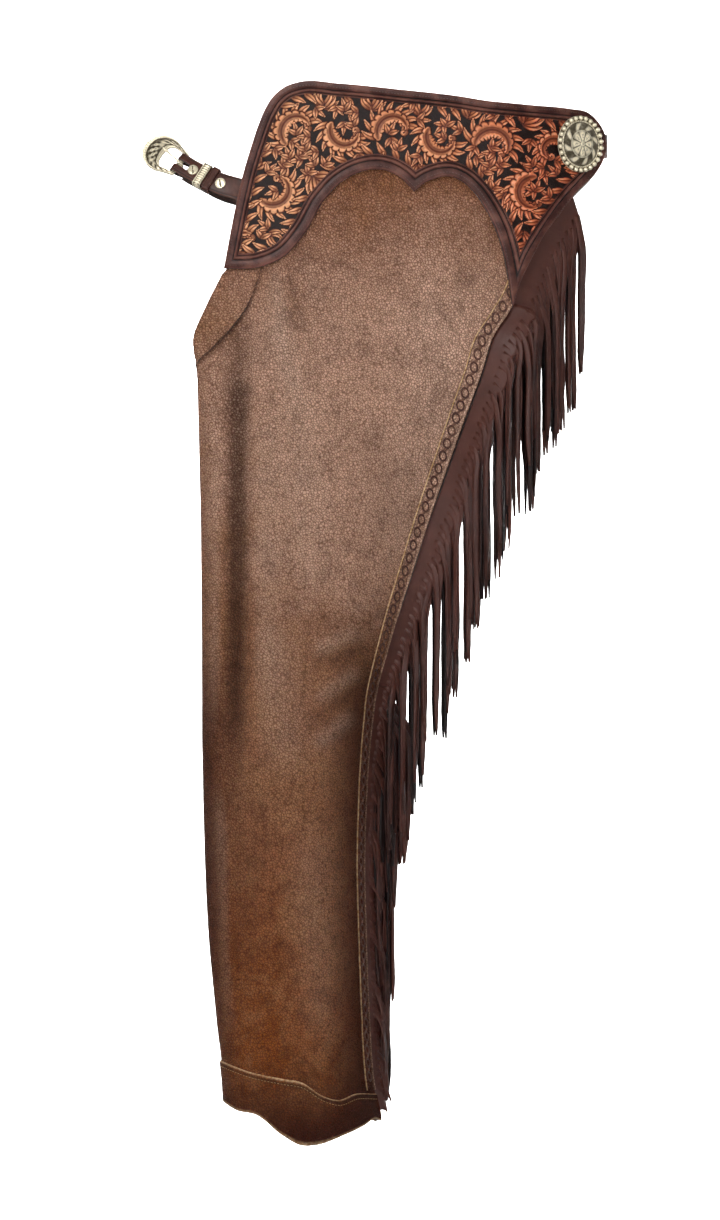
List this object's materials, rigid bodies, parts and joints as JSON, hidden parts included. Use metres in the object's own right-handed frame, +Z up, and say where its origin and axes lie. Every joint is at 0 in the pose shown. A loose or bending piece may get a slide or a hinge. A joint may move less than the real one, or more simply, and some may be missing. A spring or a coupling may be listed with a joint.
{
  "type": "leather chaps",
  "caption": "Fringed western show chaps of leather with a tooled hip yoke, laced outer seams, a buckle strap at the front and domed discs at the centre back.",
  "frame": {"origin": "between the two hip yokes, level with their top edge, where the pair is held", "axes": "+Z up, +X from the front of the hips to the centre back, -Y to the wearer's left leg"},
  "size_m": [0.471, 0.2096, 1.0671],
  "materials": {
    "leg_leather": "mottled brown pebbled leather, half matt",
    "dark_leather": "dark chocolate leather, rubbed edges, satin",
    "tooled_leather": "tan carved leather on a near-black ground, satin",
    "fringe_leather": "dark chocolate leather, half matt",
    "silver": "antique nickel silver, engraved, dark in its recesses"
  },
  "bodies": {
    "chaps": {"leg_front_L": "leg_leather", "leg_back_L": "leg_leather", "yoke_base_L": "dark_leather", "yoke_frame_L": "dark_leather", "yoke_panel_L": "tooled_leather", "braid_L": "dark_leather", "fringe_hip_L": "fringe_leather", "fringe_thigh_L": "fringe_leather", "fringe_shin_L": "fringe_leather", "hem_front_L": "leg_leather", "hem_back_L": "leg_leather", "concho_L": "silver", "leg_front_R": "leg_leather", "leg_back_R": "leg_leather", "yoke_base_R": "dark_leather", "yoke_frame_R": "dark_leather", "yoke_panel_R": "tooled_leather", "braid_R": "dark_leather", "fringe_hip_R": "fringe_leather", "fringe_thigh_R": "fringe_leather", "fringe_shin_R": "fringe_leather", "hem_front_R": "leg_leather", "hem_back_R": "leg_leather", "concho_R": "silver", "back_tab": "dark_leather", "strap_L": "dark_leather", "strap_R": "dark_leather", "keeper": "silver", "loop": "dark_leather", "screw_1": "silver", "screw_2": "silver"},
    "buckle": {"buckle": "silver"},
    "tongue": {"tongue": "silver"}
  },
  "joints": [
    {"name": "buckle_swing", "type": "hinge", "parent": "chaps", "child": "buckle", "pos_m": [-0.22671, -0.04998, -0.08064], "axis": [-0.5873, -0.302, -0.7509], "range_deg": [-25, 25]},
    {"name": "tongue_swing", "type": "hinge", "parent": "buckle", "child": "tongue", "pos_m": [-0.22671, -0.04998, -0.08064], "axis": [-0.5873, -0.302, -0.7509], "range_deg": [-60, 25]}
  ]
}
